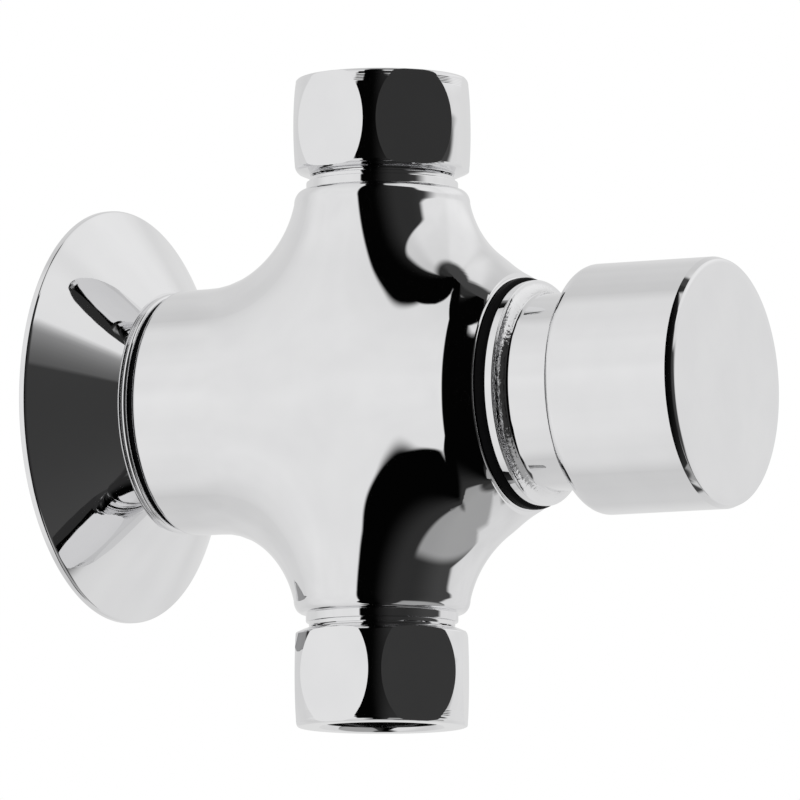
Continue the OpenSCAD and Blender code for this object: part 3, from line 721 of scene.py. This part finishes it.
front = extend(body, front, BUTTON, exact(
    (BONNET_THREAD_R, BODY_FRONT), (BONNET_THREAD_R, SHANK_END), (CAGE_HOLE_R, SHANK_END),
    (CAGE_HOLE_R, SEAT_SHELF), (SEAT_HOLE_R, SEAT_SHELF), (SEAT_HOLE_R, SEAT_HOLE_END)))
bmesh.ops.edgeloop_fill(body, edges=front)
print("front end turned:", len(body.faces), "faces")

# %% [markdown]
# The upright arms end in a soft shoulder, a narrow collar, a thread relief and the thread that the union
# nut runs on. The thread only shows when a nut is screwed off, as a row of rounded ridges at the pitch of
# the real thread.

# %% Casting: the upright arms
ARM_END = 40.5
SHOULDER = 37.9
SHOULDER_STEPS = 9
FACE_R = 15.0
COLLAR_R = 14.5
COLLAR_END = 42.2
STEP_R = 13.9
STEP_END = 43.0
THREAD_R = 13.22
THREAD_DEPTH = 1.0
THREAD_START = 43.6
THREAD_STOP = 0.6
PITCH = 1.814
# A ridge of the thread: shares of the pitch and of the depth
RIDGE = ((0.0, 0.0), (0.15, 0.1), (0.42, 0.95), (0.58, 0.95), (0.85, 0.1))
SPIGOT_END = 55.3
SPIGOT_EDGE = 0.3
MOUTH_R = 9.5
MOUTH_FLOOR = 34.5
PASSAGE_R = 6.0
PASSAGE_END = 26.0
root_r = THREAD_R - THREAD_DEPTH
shoulder_steps = []
kept_before = 1.0
for k in range(1, SHOULDER_STEPS + 1):
    swing = math.radians(90 * k / SHOULDER_STEPS)
    kept = math.cos(swing) if k < SHOULDER_STEPS else 0.0
    shoulder_steps.append((FACE_R, SHOULDER + (ARM_END - SHOULDER) * math.sin(swing), kept / kept_before))
    kept_before = kept
collar_steps = exact(
    (COLLAR_R + 0.25, ARM_END), (COLLAR_R + 0.05, ARM_END + 0.1), (COLLAR_R, ARM_END + 0.25),
    (COLLAR_R, COLLAR_END - 0.3), (COLLAR_R - 0.07, COLLAR_END - 0.1), (COLLAR_R - 0.25, COLLAR_END),
    (STEP_R + 0.05, COLLAR_END), (STEP_R, COLLAR_END + 0.1), (STEP_R, STEP_END - 0.15),
    (STEP_R - 0.1, STEP_END), (root_r, STEP_END))
thread_steps = []
for k in range(int((SPIGOT_END - THREAD_STOP - THREAD_START) / PITCH)):
    foot = THREAD_START + k * PITCH
    thread_steps += exact(*((root_r + THREAD_DEPTH * depth, foot + share * PITCH) for share, depth in RIDGE))
mouth_steps = exact(
    (root_r, SPIGOT_END - SPIGOT_EDGE), (root_r - 0.22, SPIGOT_END), (MOUTH_R + SPIGOT_EDGE, SPIGOT_END),
    (MOUTH_R, SPIGOT_END - SPIGOT_EDGE), (MOUTH_R, MOUTH_FLOOR), (PASSAGE_R, MOUTH_FLOOR),
    (PASSAGE_R, PASSAGE_END))
for axis in (PIPE, PIPE_DOWN):
    ring = cut(body, axis, SHOULDER)
    ring = extend(body, ring, axis, shoulder_steps + collar_steps + thread_steps + mouth_steps)
    bmesh.ops.edgeloop_fill(body, edges=ring)
piece("cross_body", body, "chrome_cast", "chrome", "tap", "valve_body")

# %% [markdown]
# ## The union nuts
# A union nut is a barrel with six flats ground on it. Where a flat meets the barrel the edge is a curve,
# and a plain cut would leave it ragged. So the nut is built in rings, and in each ring some columns are
# spread over the flat and the others over the rounded corner: the border between them then lies exactly on
# the edge.

# %% Columns of a nut
NUT_AF = 32.0
NUT_R = 17.8
NUT_LEN = 18.8
FULLEST = 0.48
DRAW_IN = 1.2
FLAT_COLUMNS = 12
CORNER_COLUMNS = 8
SECTOR_COLUMNS = FLAT_COLUMNS + CORNER_COLUMNS
LEAST_HALF = math.radians(1.5)


def barrel_radius(h):
    """Radius of the nut's barrel at a height above its start."""
    swell = NUT_LEN * FULLEST
    curve = (swell * swell + DRAW_IN * DRAW_IN) / (2 * DRAW_IN)
    return NUT_R - curve + math.sqrt(curve * curve - (h - swell) ** 2)


def nut_spoke(column, radius, turn):
    """Angle and length of a column's spoke where the round part of the nut has this radius."""
    sector, k = divmod(column, SECTOR_COLUMNS)
    flat = NUT_AF / 2
    half = max(math.acos(min(flat / radius, 1.0)), LEAST_HALF)
    if k < FLAT_COLUMNS:
        off = half * (2 * k / FLAT_COLUMNS - 1)
        length = min(flat / math.cos(off), radius)
    else:
        off = half + (math.radians(60) - 2 * half) * (k - FLAT_COLUMNS) / CORNER_COLUMNS
        length = radius
    return math.radians(turn + 30 + 60 * sector) + off, length


print("a nut has", 6 * SECTOR_COLUMNS, "columns")

# %% [markdown]
# The rings run from the nut's start over the barrel to its end, and back through the mouth and the thread.
# A ring is a radius, a height and whether the flats are cut into it. The start's edge has close rings
# where the flats begin, and near the end the turning tool has left a few fine lines.

# %% Rings of a nut
NUT_START = 43.3
NUT_BORE_R = 13.27
LIP_R = 11.3
LIP_HEIGHT = 15.7
START_HOLE_R = 13.6
START_FACE_R = 14.2
START_EDGE = ((14.5, 0.06), (14.9, 0.2), (15.3, 0.37), (15.7, 0.54), (15.95, 0.65))
START_EDGE += ((16.1, 0.71), (16.3, 0.8), (16.55, 0.94), (16.75, 1.1))
BARREL_FROM = 1.35
BARREL_REST = 2.6
BARREL_RINGS = 26
LINE_RINGS = 10
LINES_REST = 2.5
LINE_STEP = 0.15
LINE_DEPTH = 0.035
END_EDGE = 1.1
END_ANGLES = np.radians((5, 20, 35, 50, 62, 74, 84, 90))
# Radius and depth below the nut's end
NUT_MOUTH = ((13.0, 0), (12.25, 0), (12.05, 0.04), (11.9, 0.16), (LIP_R + 0.08, 0.72), (LIP_R, 0.85))


def nut_rings():
    """Rings of (radius, height, with flats) from the nut's start, round its outside and back inside."""
    rings = [(START_HOLE_R, 0, False), (START_FACE_R, 0, False)]
    rings += [(radius, h, True) for radius, h in START_EDGE]
    heights = np.linspace(BARREL_FROM, NUT_LEN - BARREL_REST, BARREL_RINGS)
    rings += [(barrel_radius(h), h, True) for h in heights]
    for k in range(LINE_RINGS):
        h = NUT_LEN - LINES_REST + LINE_STEP * k
        rings.append((barrel_radius(h) - LINE_DEPTH * (k % 2), h, True))
    end = NUT_LEN - END_EDGE
    end_edge = arc((barrel_radius(end) - END_EDGE, end), (END_EDGE, END_EDGE), END_ANGLES)
    rings += [(radius, h, True) for radius, h, _ in end_edge]
    inside = [(radius, NUT_LEN - depth) for radius, depth in NUT_MOUTH]
    inside += [(LIP_R, LIP_HEIGHT + 0.1), (LIP_R + 0.1, LIP_HEIGHT), (NUT_BORE_R, LIP_HEIGHT)]
    inside += [(NUT_BORE_R, 0.35), (START_HOLE_R, 0)]
    return rings + [(radius, h, False) for radius, h in inside]


print("a nut has", len(nut_rings()), "rings")

# %% [markdown]
# A circle of edges is extruded from ring to ring. The vertices of a new ring come in no known order, so
# each takes its column from the vertex that it was pulled from. The two nuts differ only in how far they
# are turned.

# %% Union nuts
NUT_SHARP = math.radians(12)
LOWER_TURN = 23
UPPER_TURN = 19.5


def union_nut(axis, turn):
    """Builds a nut ring by ring from a circle of edges."""
    origin, along, _ = axis
    bm = bmesh.new()
    bmesh.ops.create_circle(bm, segments=6 * SECTOR_COLUMNS, radius=1.0)
    columns = {vert: i for i, vert in enumerate(bm.verts)}
    edges = list(bm.edges)
    rim = START_HOLE_R
    for number, (radius, height, with_flats) in enumerate(nut_rings()):
        if number:
            verts, edges = next_ring(bm, edges)
            old = columns
            columns = {}
            for vert in verts:
                partner = next(e.other_vert(vert) for e in vert.link_edges if e.other_vert(vert) in old)
                columns[vert] = old[partner]
        if with_flats:
            rim = radius
        for vert, column in columns.items():
            angle, length = nut_spoke(column, rim, turn)
            length = length if with_flats else radius
            spoke = Vector((math.cos(angle), math.sin(angle), 0))
            vert.co = origin + (along * (NUT_START + height) + spoke * length) * MM
    bmesh.ops.remove_doubles(bm, verts=bm.verts, dist=SAME)
    return bm


lower = union_nut(PIPE_DOWN, LOWER_TURN)
piece("lower_union_nut", lower, "chrome_turned", "chrome", "lower_nut", "inlet_nut", sharp=NUT_SHARP)
upper = union_nut(PIPE, UPPER_TURN)
piece("upper_union_nut", upper, "chrome_turned", "chrome", "upper_nut", "outlet_nut", sharp=NUT_SHARP)

# %% [markdown]
# ## The bonnet
# The bonnet's flange presses on the black ring, and a hollow rounding leads from it to the neck that the
# button slides over. The outline also follows the inside: spring pocket, bush hole and timing chamber.

# %% Bonnet
SHANK_R = 17.45
BONNET_R = 21.4
BONNET_STEP = 91.3
BONNET_EDGE = 0.3
NECK_R = 18.7
NECK_FILLET = 2.5
NECK_FLAT = 97.0
NECK_END = 108.0
POCKET_R = 16.0
POCKET_FLOOR = 98.0
BUSH_R = 8.0
BUSH_REAR = 93.0
RING_SEAT_R = 7.0
RING_SEAT = 91.0
STEM_HOLE_R = 5.3
CHAMBER_R = 13.0
CHAMBER_FRONT = 88.0
FILLET_STEPS = 13
rise = BONNET_R - BONNET_EDGE - NECK_R
fillet_from = math.acos((NECK_FILLET - rise) / NECK_FILLET)
fillet_at = BONNET_STEP + NECK_FILLET * math.sin(fillet_from)
fillet_angles = np.linspace(math.pi + fillet_from, math.pi, FILLET_STEPS)
shank = [(SHANK_R, SHANK_END, 0.2), (SHANK_R, BONNET_REAR, 0)]
head = [(BONNET_R, BONNET_REAR, 0.2), (BONNET_R, BONNET_STEP, 0.2)]
hollow = arc((NECK_R + NECK_FILLET, fillet_at), (NECK_FILLET, NECK_FILLET), fillet_angles)
neck = [(NECK_R, NECK_FLAT, 0), (NECK_R, NECK_END, 0.3)]
pocket = [(POCKET_R, NECK_END, 0.2), (POCKET_R, POCKET_FLOOR, 0)]
bush_hole = [(BUSH_R, POCKET_FLOOR, 0), (BUSH_R, BUSH_REAR, 0), (RING_SEAT_R, BUSH_REAR, 0)]
stem_hole = [(RING_SEAT_R, RING_SEAT, 0), (STEM_HOLE_R, RING_SEAT, 0), (STEM_HOLE_R, CHAMBER_FRONT, 0)]
chamber = [(CHAMBER_R, CHAMBER_FRONT, 0), (CHAMBER_R, SHANK_END, 0.2)]
bonnet = turned(shank + head + hollow + neck + pocket + bush_hole + stem_hole + chamber, BUTTON)
piece("bonnet_neck", bonnet, "chrome_bonnet", "chrome", "tap", "bonnet")

# %% [markdown]
# ## The push button
# The button is a deep cap. Its front edge is broken by a narrow steep land and then rounded over to the
# face. The land is what draws one dark line beside the face, and the face is left bare and polished.
# Inside, a hub runs down from the roof and takes the stem.

# %% Push button
BUTTON_R = 23.7
BUTTON_REAR = 102.5
BUTTON_FRONT = 130.0
SKIRT_R = 21.2
REAR_ROUND = 2.2
LAND_DEPTH = 1.1
LAND_IN = 0.4
LAND_ROUND = 0.25
EDGE_WIDTH = 2.4
EDGE_DEPTH = 0.6
EDGE_STEPS = 24
ROOF = 126.5
HUB_R = 8.0
HUB_REAR = 113.0
HUB_HOLE_R = 4.02
HUB_HOLE_END = 124.5
edge_from = math.atan(LAND_IN / LAND_DEPTH * EDGE_DEPTH / EDGE_WIDTH)
edge_r = BUTTON_R - LAND_IN + EDGE_WIDTH * (1 - math.cos(edge_from))
land_end = BUTTON_FRONT - EDGE_DEPTH * (1 - math.sin(edge_from))
edge_centre = (edge_r - EDGE_WIDTH, BUTTON_FRONT - EDGE_DEPTH)
skirt = [(SKIRT_R, BUTTON_REAR, 0.2), (BUTTON_R, BUTTON_REAR, REAR_ROUND)]
land = [(BUTTON_R, land_end - LAND_DEPTH, LAND_ROUND)]
edge = arc(edge_centre, (EDGE_WIDTH, EDGE_DEPTH), np.linspace(edge_from, math.pi / 2, EDGE_STEPS))
face = [(edge_centre[0] - 0.3, BUTTON_FRONT, 0), (0, BUTTON_FRONT, 0)]
hub_hole = [(0, HUB_HOLE_END, 0), (HUB_HOLE_R, HUB_HOLE_END, 0), (HUB_HOLE_R, HUB_REAR, 0.3)]
hub = [(HUB_R, HUB_REAR, 0.4), (HUB_R, ROOF, 0.5), (SKIRT_R, ROOF, 0.6)]
button = turned(skirt + land + edge + face + hub_hole + hub, BUTTON, FINE_STEPS)
piece("button_cap", button, "chrome_turned", "chrome", "plunger", "push_button")

# %% [markdown]
# ## The return spring
# The spring is a wire circle spun along a helix: spin takes a step along the axis with each step of its
# turn. It stands in the neck's pocket, and in the real tap the button presses it short when it goes in.

# %% Return spring
SPRING_R = 13.0
WIRE_R = 0.9
WIRE_SIDES = 14
WIRE_GAP = 0.1
SPRING_TURNS = 6
STEPS_A_TURN = 40
first_coil = POCKET_FLOOR + WIRE_R + WIRE_GAP
last_coil = ROOF - WIRE_R - WIRE_GAP
steps = SPRING_TURNS * STEPS_A_TURN
climb = BUTTON[1] * (last_coil - first_coil) * MM / steps
spring = bmesh.new()
stand = Matrix.Translation(Vector((SPRING_R, -first_coil, 0)) * MM)
bmesh.ops.create_circle(spring, cap_ends=True, segments=WIRE_SIDES, radius=WIRE_R * MM, matrix=stand)
bmesh.ops.spin(
    spring,
    geom=spring.faces[:],
    cent=BUTTON[0],
    axis=BUTTON[1],
    dvec=climb,
    angle=2 * math.pi * SPRING_TURNS,
    steps=steps,
)
return_spring = piece("return_coil", spring, "steel_turned", "steel", "tap", "return_spring")
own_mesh(return_spring)

# %% [markdown]
# ## Finishes of the other solids
# What is left are the hidden works of the tap. Their solids are good as they are, so they only get a
# finish.

# %% Hidden works
works = {
    "brass_turned": ("flange_locknut", "valve_seat", "valve_disc"),
    "steel_turned": ("timing_needle", "jam_nut", "stem", "piston_clip", "valve_nut"),
    "steel_pressed": ("inlet_strainer",),
    "rubber_seal": (
        "inlet_gasket", "outlet_gasket", "stem_seal_ring", "seat_seal_ring", "piston_seal", "valve_washer",
    ),
    "plastic_ivory": ("flow_limiter", "stem_bush", "cartridge_cage", "piston"),
}
for finish, names in works.items():
    for name in names:
        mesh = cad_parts[name].data
        mesh.materials.clear()
        mesh.materials.append(finishes[finish])
print("hidden works finished:", sum(len(names) for names in works.values()))

# %% [markdown]
# ## Floor and light
# A wall tap has no floor under it, but a plain pale floor far below catches its shadow and lights it from
# below. Its underside is clear, because a wall tap is often looked at from below. One large soft lamp
# above gives the matt pieces some shape.

# %% Floor
FLOOR_Z = -1.0
FLOOR_HALF = 4.0
level = Matrix.Translation((0, 0, FLOOR_Z))
floor_bm = bmesh.new()
bmesh.ops.create_grid(floor_bm, x_segments=2, y_segments=2, size=FLOOR_HALF, matrix=level)
floor_mesh = bpy.data.meshes.new("floor")
floor_bm.to_mesh(floor_mesh)
floor_bm.free()
floor = bpy.data.objects.new("floor", floor_mesh)
bpy.context.scene.collection.objects.link(floor)
pale = {"Base Color": (0.9, 0.9, 0.9, 1), "Roughness": 0.9}
floor_paint, paint, start, _ = new_finish("floor_paint", pale)
underside = start.add("ShaderNodeNewGeometry", output="Backfacing")
clear = start.add("ShaderNodeBsdfTransparent")
painted = Shade(start.tree, paint.outputs[0])
two_sided = start.add("ShaderNodeMixShader", inputs={0: underside, 1: painted, 2: clear})
start.tree.links.new(two_sided.socket, start.tree.nodes["Material Output"].inputs["Surface"])
floor_mesh.materials.append(floor_paint)
floor.visible_glossy = False
print("floor at", FLOOR_Z)

# %% Lamp
LAMP_PLACE = Vector((-0.7, -0.5, 1.5))
LAMP_SIZE = 1.2
LAMP_POWER = 12.0
lamp_data = bpy.data.lights.new("soft_lamp", "AREA")
lamp_data.shape = "SQUARE"
lamp_data.size = LAMP_SIZE
lamp_data.energy = LAMP_POWER
lamp = bpy.data.objects.new("soft_lamp", lamp_data)
lamp.location = LAMP_PLACE
lamp.rotation_mode = "QUATERNION"
lamp.rotation_quaternion = (AIM - LAMP_PLACE).to_track_quat("-Z", "Y")
lamp.visible_glossy = False
bpy.context.scene.collection.objects.link(lamp)
print("lamp of", LAMP_POWER, "W")
